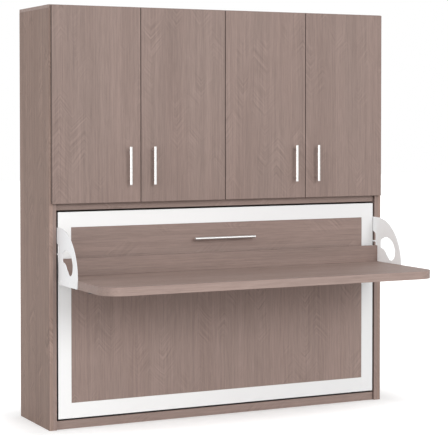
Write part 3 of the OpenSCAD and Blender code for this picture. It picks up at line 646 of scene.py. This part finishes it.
def panel_depth(px, pz):
    """How far the cover lies in from the mattress's face: most at the stitched lines and at the edge."""
    fade = min(1.0, max(0.0, min(HALF_X - abs(px), HALF_Z - abs(pz)) / EDGE_FADE))
    fade = fade * fade * (3 - 2 * fade)
    slack = 1 - SLACK * math.sin(px * 17.0 + 1.3) * math.sin(pz * 23.0)
    depth = SINK * (1 - quilt_height(px, pz) * fade) * slack
    return min(max(depth, LEAST_SINK), MOST_SINK)


def build_panels():
    """The quilted panels: a fine grid on each face, crowned and drawn in along its stitched lines."""
    count_x = int(2 * (HALF_X - PANEL_INSET) / PANEL_STEP)
    count_z = int(2 * (HALF_Z - PANEL_INSET) / PANEL_STEP)
    bm = bmesh.new()
    for y, facing in ((low.y, -1), (high.y, 1)):
        rows = []
        for i in range(count_x + 1):
            row = []
            for j in range(count_z + 1):
                px, pz = panel_point(-1 + 2 * i / count_x, -1 + 2 * j / count_z)
                row.append(bm.verts.new((px, y - facing * panel_depth(px, pz), pz + MID_Z)))
            rows.append(row)
        for a, b in zip(rows, rows[1:]):
            for j in range(count_z):
                bm.faces.new([a[j], b[j], b[j + 1], a[j + 1]][::-facing])
    return from_bmesh("mattress_panels", bm, ticking)


BORDER_INSET, BORDER_SINK = 0.0012, 0.0010
BORDER_PULL, BORDER_RIPPLE = 0.0045, 0.0008
BORDER_POINTS, BORDER_LEVELS = 420, 26
SEAMS, SEAM_DEPTH, SEAM_W = (0.34, 0.66), 0.0022, 0.012


def build_border():
    """The border between the two tapes: full in the middle, and drawn in along its two seams."""
    length = outline_length(BORDER_INSET)
    y0, y1 = low.y + TAPE, high.y - TAPE
    bm = bmesh.new()
    rings = []
    for j in range(BORDER_LEVELS + 1):
        w = j / BORDER_LEVELS
        middle = math.sin(math.pi * w)
        seam = sum(SEAM_DEPTH * math.exp(-((w - at) / SEAM_W) ** 2) for at in SEAMS)
        ring = []
        for i in range(BORDER_POINTS):
            t = length * i / BORDER_POINTS
            p, out = outline_point(t, BORDER_INSET)
            pull = BORDER_PULL * (1 - middle ** 0.6) + BORDER_RIPPLE * math.sin(t * 31.0) * middle
            q = p - out * (pull + seam + BORDER_SINK)
            ring.append(bm.verts.new((q.x, y0 + (y1 - y0) * w, q.z)))
        rings.append(ring)
    skin(bm, rings)
    bmesh.ops.recalc_face_normals(bm, faces=bm.faces)
    return from_bmesh("mattress_border", bm, ticking)


PIPING_R = TAPE * 0.62
PIPING_UNEVEN, PIPING_FIT = 0.0002, 0.98
PIPING_POINTS, PIPING_SIDES = 640, 10


def build_piping():
    """A round tape along both edges, where the panels meet the border."""
    length = outline_length(PIPING_R)
    bm = bmesh.new()
    for y in (low.y + PIPING_R, high.y - PIPING_R):
        rings = []
        for i in range(PIPING_POINTS):
            p, out = outline_point(length * i / PIPING_POINTS, PIPING_R)
            r = (PIPING_R + PIPING_UNEVEN * math.sin(i * 1.9)) * PIPING_FIT
            ring = []
            for k in range(PIPING_SIDES):
                a = math.tau * k / PIPING_SIDES
                q = p + out * (r * math.cos(a))
                ring.append(bm.verts.new((q.x, y + r * math.sin(a), q.z)))
            rings.append(ring)
        skin(bm, rings + rings[:1])
    bmesh.ops.recalc_face_normals(bm, faces=bm.faces)
    return from_bmesh("mattress_piping", bm, piping)


panels = build_panels()
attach(panels, "bed")
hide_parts("mattress")
for piece in (build_border(), build_piping()):
    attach(piece, "bed")


# ---- Mattress straps ----

BEND_STEPS = 8
PATH_STEP = 0.004


def rounded_path(corners, radius):
    """Points along straight runs in the plane of Y and Z, with each inner corner turned on a radius."""
    points = []
    for k, here in enumerate(corners):
        if k in (0, len(corners) - 1):
            points.append(here)
            continue
        back = (corners[k - 1] - here).normalized()
        on = (corners[k + 1] - here).normalized()
        for i in range(BEND_STEPS + 1):
            w = i / BEND_STEPS
            points.append(here + back * radius * (1 - w) ** 2 + on * radius * w ** 2)
    fine = [points[0]]
    for a, b in zip(points, points[1:]):
        count = max(1, round((b - a).length / PATH_STEP))
        fine.extend(a + (b - a) * (i + 1) / count for i in range(count))
    return fine


# A strap's thickness at even steps across its width, against the thickness it is given
RIBBON_FULLNESS = (0.55, 1.18, 1.0, 1.0, 1.0, 1.0, 0.88, 1.0, 1.0, 1.0, 1.0, 1.18, 0.55)


def ribbon(bm, path, mid_x, width, thickness):
    """A woven strap: a flat band with full, rounded selvedges and a shallow channel along its middle."""
    steps = len(RIBBON_FULLNESS) - 1
    profile = [(width * (k / steps - 0.5), thickness / 2 * full) for k, full in enumerate(RIBBON_FULLNESS)]
    section = profile + [(u, -h) for u, h in reversed(profile)]
    loops = []
    for i, p in enumerate(path):
        ahead = path[min(i + 1, len(path) - 1)] - path[max(i - 1, 0)]
        out = Vector((ahead.y, -ahead.x)).normalized()
        loops.append([bm.verts.new((mid_x + u, p.x + out.x * h, p.y + out.y * h)) for u, h in section])
    skin(bm, loops)
    cap(bm, loops)


STRAP_W, STRAP_T = 0.038, 0.0015
STRAP_BEND = 0.005
STRAP_GAP = 0.0003
BUCKLE_RISE, LADDER_RISE = 0.0036, 0.0072
BUCKLE_FRAMES = ((0.066, 0.020), (0.110, 0.026))
LATCH_AT, LATCH_SIZE = 0.087, (0.034, 0.024, 0.0048)
PRONG_AT, PRONG_OUT, PRONG_SIZE = 0.088, 0.0195, (0.005, 0.022, 0.0056)
LADDER_AT, LADDER_SIZE = (0.060, 0.071, 0.103, 0.116), (0.040, 0.0035, 0.0016)


def build_buckle(bm, mid_x, rear, top):
    """A side-release buckle on the upper side: two frames, a latch body, two prongs and four bars."""
    middle, crest = top + BUCKLE_RISE, top + LADDER_RISE
    for y, length in BUCKLE_FRAMES:
        soft_box(bm, (mid_x, rear + y, middle), (0.050, length, 0.0065), 0.0022)
    soft_box(bm, (mid_x, rear + LATCH_AT, middle), LATCH_SIZE, 0.0016)
    for side in (-1, 1):
        soft_box(bm, (mid_x + side * PRONG_OUT, rear + PRONG_AT, middle), PRONG_SIZE, 0.0018)
    for y in LADDER_AT:
        soft_box(bm, (mid_x, rear + y, crest), LADDER_SIZE, 0.0006, 2)


strap_low, strap_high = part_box("mattress_straps")
strap_out = strap_high.x - STRAP_W / 2
frame_back = strap_low.y + STRAP_T / 2
strap_y = strap_high.y - STRAP_T / 2
under = low.z - STRAP_GAP - STRAP_T / 2
above = high.z + STRAP_GAP + STRAP_T / 2
strap_run = rounded_path(
    [
        Vector((frame_back, strap_low.z)), Vector((frame_back, under)), Vector((strap_y, under)),
        Vector((strap_y, above)), Vector((frame_back, above)), Vector((frame_back, strap_high.z)),
    ],
    STRAP_BEND,
)
bands, buckles = bmesh.new(), bmesh.new()
for mid_x in (-strap_out, 0.0, strap_out):
    ribbon(bands, strap_run, mid_x, STRAP_W, STRAP_T)
    build_buckle(buckles, mid_x, strap_low.y, above + STRAP_T / 2)
bmesh.ops.recalc_face_normals(bands, faces=bands.faces)
bmesh.ops.recalc_face_normals(buckles, faces=buckles.faces)
straps = from_bmesh("mattress_strap_webbing", bands, webbing)
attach(straps, "bed")
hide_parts("mattress_straps")
clasp = from_bmesh("mattress_strap_buckles", buckles, black_plastic)
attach(clasp, "bed")


# ---- Fittings: screws and hinge arms ----

HEAD_RINGS, HEAD_SPOKES = 12, 48
DOME_FALL, RIM_HEIGHT = 0.30, 0.45
# The cross recess, in shares of the head's radius: half its width, its reach, and how wide its slopes are
CROSS_ARM, CROSS_REACH, CROSS_FLANK, CROSS_END = 0.13, 0.52, 0.05, 0.10
BRACKET_RISE, BRACKET_RECESS = 0.002, 0.0016
# Radius, rise and recess of the screws in the hinges' plates and arms
PLATE_HEAD = (0.0042, 0.0016, 0.0012)
ARM_HEAD = (0.0040, 0.0009, 0.0008)


def screw_head(bm, at, out, radius, rise, recess, turn):
    """A domed screw head with a cross recess, on the point at, looking along out."""
    at, out = Vector(at), Vector(out).normalized()
    side = out.orthogonal().normalized()
    other = out.cross(side)
    rows = []
    for i in range(HEAD_RINGS + 1):
        r = i / HEAD_RINGS
        row = []
        for k in range(HEAD_SPOKES):
            spoke = math.tau * k / HEAD_SPOKES
            u, w = r * math.cos(spoke + turn), r * math.sin(spoke + turn)
            height = rise * (1.0 - DOME_FALL * r * r) if r < 1 else rise * RIM_HEIGHT
            c, d = abs(r * math.cos(spoke)), abs(r * math.sin(spoke))
            arm, reach = min(c, d), max(c, d)
            if arm < CROSS_ARM and reach < CROSS_REACH:
                flank = min(1.0, (CROSS_ARM - arm) / CROSS_FLANK)
                height -= recess * min(1.0, (CROSS_REACH - reach) / CROSS_END) * flank
            row.append(bm.verts.new(at + side * u * radius + other * w * radius + out * height))
        rows.append(row)
    rows.append([bm.verts.new(v.co - out * (v.co - at).dot(out)) for v in rows[-1]])
    for v in rows[0]:
        v.co = at + out * (rise - recess)
    skin(bm, rows)
    bmesh.ops.remove_doubles(bm, verts=rows[0], dist=1e-7)


bracket_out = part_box("right_desk_bracket")[1].x
head_low, head_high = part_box("bracket_screws")
HEAD_R = (head_high.z - head_low.z) / 2
screw_z = (head_high.z + head_low.z) / 2
SCREWS = 4
bm = bmesh.new()
for side in (-1, 1):
    for k in range(SCREWS):
        y = head_low.y + HEAD_R + (head_high.y - head_low.y - 2 * HEAD_R) * k / (SCREWS - 1)
        at = (side * bracket_out, y, screw_z)
        screw_head(bm, at, (side, 0, 0), HEAD_R, BRACKET_RISE, BRACKET_RECESS, 0.7 * k + side)
heads = from_bmesh("bracket_screw_heads", bm, white_steel)
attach(heads, "desk")
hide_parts("bracket_screws")

ARM_W, ARM_H, ARM_L, ARM_START = 0.014, 0.014, 0.060, 0.0005
ARM_STEPS = 24
ARM_TAPER, TAPER_L = 0.30, 0.018
ARM_DROP, DROP_L = 0.35, 0.012
ARM_SCREWS_AT, ARM_SCREW_SUNK = (0.024, 0.047), 0.0004
NOSE_R, NOSE_STEPS = 0.0035, 10
PLATE_H, PLATE_L, PLATE_START = 0.040, 0.055, 0.020
PLATE_BODY_H, PLATE_SCREW_OUT = PLATE_H * 0.46, PLATE_H * 0.37
WING_T, WING_L, WING_BACK = 0.0022, PLATE_L * 0.52, 0.004
SHELF_SIDE_GAP = 0.001
SHELF_HINGE_DROP = 0.0565


def folded_arm(bm, mid_x, y0, z, open_side):
    """A hinge arm folded from sheet: a crowned channel with a rounded nose, open towards its plate."""
    foot = mid_x + open_side * ARM_W / 2
    loops = []
    for i in range(ARM_STEPS + 1):
        w = i / ARM_STEPS
        taper = 1.0 - ARM_TAPER * max(0.0, 1 - w * ARM_L / TAPER_L) ** 2
        drop = 1.0 - ARM_DROP * max(0.0, 1 - (1 - w) * ARM_L / DROP_L) ** 2
        half_z = ARM_H / 2 * taper
        top = mid_x + open_side * (-ARM_W / 2 + ARM_W * (1 - drop))
        outline = [(foot, half_z)]
        for k in range(NOSE_STEPS + 1):
            a = math.pi / 2 * k / NOSE_STEPS
            inward, down = NOSE_R * (1 - math.sin(a)), NOSE_R * (1 - math.cos(a))
            outline.append((top + open_side * inward, half_z - down))
        outline += [(u, -v) for u, v in reversed(outline)]
        loops.append([bm.verts.new((u, y0 + ARM_L * w, z + v)) for u, v in outline])
    skin(bm, loops)
    cap(bm, loops)


cup_boxes = [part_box(name) for name in CUPS]
FLANGE_R = (cup_boxes[0][1].x - cup_boxes[0][0].x) / 2
side_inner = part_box("shelves")[1].x + SHELF_SIDE_GAP
divider_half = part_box("cupboard_divider")[1].x
front_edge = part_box("cupboard_divider")[0].y
plate_y = front_edge + PLATE_START + PLATE_L / 2
hinge_heights = [
    cup_boxes[0][0].z + FLANGE_R,
    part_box("shelves")[0].z - SHELF_HINGE_DROP,
    cup_boxes[0][1].z - FLANGE_R,
]
bm, screws = bmesh.new(), bmesh.new()
for i, (cups_low, cups_high) in enumerate(cup_boxes):
    cup_x = (cups_low.x + cups_high.x) / 2
    carrier = (-side_inner, -divider_half, divider_half, side_inner)[i]
    facing = 1 if i in (0, 2) else -1
    rise = abs(cup_x - carrier) - ARM_W / 2
    for z in hinge_heights:
        soft_box(bm, (carrier + facing * rise / 2, plate_y, z), (rise, PLATE_L, PLATE_BODY_H), 0.0016)
        wing_at = (carrier + facing * WING_T / 2, plate_y - WING_BACK, z)
        soft_box(bm, wing_at, (WING_T, WING_L, PLATE_H), 0.0009)
        folded_arm(bm, cup_x, front_edge + ARM_START, z, -facing)
        for up in (-1, 1):
            at = (carrier + facing * WING_T, plate_y - WING_BACK, z + up * PLATE_SCREW_OUT)
            screw_head(screws, at, (facing, 0, 0), *PLATE_HEAD, 0.5 * up + i)
        for k, y in enumerate(ARM_SCREWS_AT):
            at = (cup_x + facing * (ARM_W / 2 - ARM_SCREW_SUNK), front_edge + y, z)
            screw_head(screws, at, (facing, 0, 0), *ARM_HEAD, 1.1 * k + z)
bmesh.ops.recalc_face_normals(bm, faces=bm.faces)
arms = from_bmesh("hinge_arm_bodies", bm, plated)
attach(arms, "cabinet")
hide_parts("hinge_arms")
arm_screws = from_bmesh("hinge_arm_screws", screws, plated)
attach(arm_screws, "cabinet")


# ---- Stage: floor, light and camera ----

WORLD_LEVEL = 0.78
FLOOR_COLOUR = 0.80
FLOOR_SIZE = 30.0
# Camera glow near the cabinet and far from it: the lower glow near it paints the floor darker round the
# contact shadow.
FLOOR_LIFT, FLOOR_LIFT_AWAY, LIFT_RANGE = 0.30, 0.62, 0.40
UNDER_WITHIN = 0.0005
KEY_LEVEL, KEY_ANGLE, KEY_FROM = 0.98, 22.0, (0.16, -1.0, 0.38)
FILL_LEVEL, FILL_ANGLE, FILL_FROM = 1.00, 50.0, (-1.0, -0.30, 0.30)


def shown_apart(tree, lit, shown):
    """Shows one shader to the camera and in gloss and glass, and the other to everything else."""
    path = tree.nodes.new("ShaderNodeLightPath")
    seen = path.outputs["Is Camera Ray"]
    for name in ("Is Glossy Ray", "Is Transmission Ray"):
        both = tree.nodes.new("ShaderNodeMath")
        both.operation = "MAXIMUM"
        tree.links.new(seen, both.inputs[0])
        tree.links.new(path.outputs[name], both.inputs[1])
        seen = both.outputs[0]
    mixed = tree.nodes.new("ShaderNodeMixShader")
    tree.links.new(seen, mixed.inputs[0])
    tree.links.new(lit, mixed.inputs[1])
    tree.links.new(shown, mixed.inputs[2])
    return mixed.outputs[0]


def build_world():
    world = bpy.data.worlds.new("studio")
    bpy.context.scene.world = world
    world.use_nodes = True
    tree = world.node_tree
    tree.nodes.clear()
    shaders = []
    for level in (WORLD_LEVEL, 1.0):
        background = tree.nodes.new("ShaderNodeBackground")
        background.inputs[0].default_value = (1, 1, 1, 1)
        background.inputs[1].default_value = level
        shaders.append(background.outputs[0])
    surface = tree.nodes.new("ShaderNodeOutputWorld")
    tree.links.new(shown_apart(tree, *shaders), surface.inputs[0])


def floor_finish():
    """A matt floor, with a glow for the camera that lifts it to white: the glow is less near the cabinet,
    so that the contact shadow shows there and the floor is painted a little darker, and there is none under
    it."""
    s = Shader("floor")
    s.tree.nodes.remove(s.surface)
    matt = s.node("BsdfDiffuse", {0: (FLOOR_COLOUR, FLOOR_COLOUR, FLOOR_COLOUR)})
    floor_x, floor_y, _ = s.axes()
    past_x = s.math("MAXIMUM", s.math("SUBTRACT", s.math("ABSOLUTE", floor_x), cad_box[1].x), 0.0)
    past_front = s.math("SUBTRACT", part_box("toe_rail")[0].y, floor_y)
    past_back = s.math("SUBTRACT", floor_y, cad_box[1].y)
    past_y = s.math("MAXIMUM", s.math("MAXIMUM", past_front, past_back), 0.0)
    away = s.math("SQRT", s.total(s.math("MULTIPLY", past_x, past_x), s.math("MULTIPLY", past_y, past_y)))
    level = s.band(away, 0.0, LIFT_RANGE, FLOOR_LIFT, FLOOR_LIFT_AWAY)
    level = s.math("MULTIPLY", level, s.math("GREATER_THAN", away, UNDER_WITHIN))
    lifted = s.node("AddShader", {0: matt, 1: s.node("Emission", {1: level})})
    s.put(s.tree.nodes["Material Output"].inputs[0], shown_apart(s.tree, matt, lifted))
    return s.material


def sun(name, level, angle, towards):
    data = bpy.data.lights.new(name, "SUN")
    data.energy = level
    data.angle = math.radians(angle)
    lamp = bpy.data.objects.new(name, data)
    bpy.context.scene.collection.objects.link(lamp)
    lamp.rotation_euler = Vector(towards).to_track_quat("Z", "Y").to_euler()


build_world()
bm = bmesh.new()
bmesh.ops.create_grid(bm, x_segments=1, y_segments=1, size=FLOOR_SIZE)
floor = from_bmesh("floor", bm, floor_finish(), smooth=False)
sun("key", KEY_LEVEL, KEY_ANGLE, KEY_FROM)
sun("fill", FILL_LEVEL, FILL_ANGLE, FILL_FROM)

# The photograph's focal length and the row of its optical axis in pixels, and the view's turn in degrees
FOCAL_PX = 1538.32
AXIS_PX = 159.035
LOOKS_DOWN, LOOKS_RIGHT = 1.6, 26.51698
CAMERA_X, CAMERA_Z, CAMERA_AHEAD = -3.82736, 1.67106, 7.67525
camera_data = bpy.data.cameras.new("camera")
camera_data.sensor_fit = "HORIZONTAL"
camera_data.sensor_width = 36.0
camera_data.lens = FOCAL_PX * camera_data.sensor_width / IMAGE_W
camera_data.shift_y = (AXIS_PX - IMAGE_H / 2) / IMAGE_W
camera_data.clip_end = 100.0
camera = bpy.data.objects.new("camera", camera_data)
bpy.context.scene.collection.objects.link(camera)
front_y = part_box("left_side_panel")[0].y
camera.location = (CAMERA_X, front_y - CAMERA_AHEAD, CAMERA_Z)
camera.rotation_euler = (math.radians(90.0 - LOOKS_DOWN), 0.0, -math.radians(LOOKS_RIGHT))
bpy.context.scene.camera = camera
bpy.context.scene.view_settings.view_transform = "Standard"
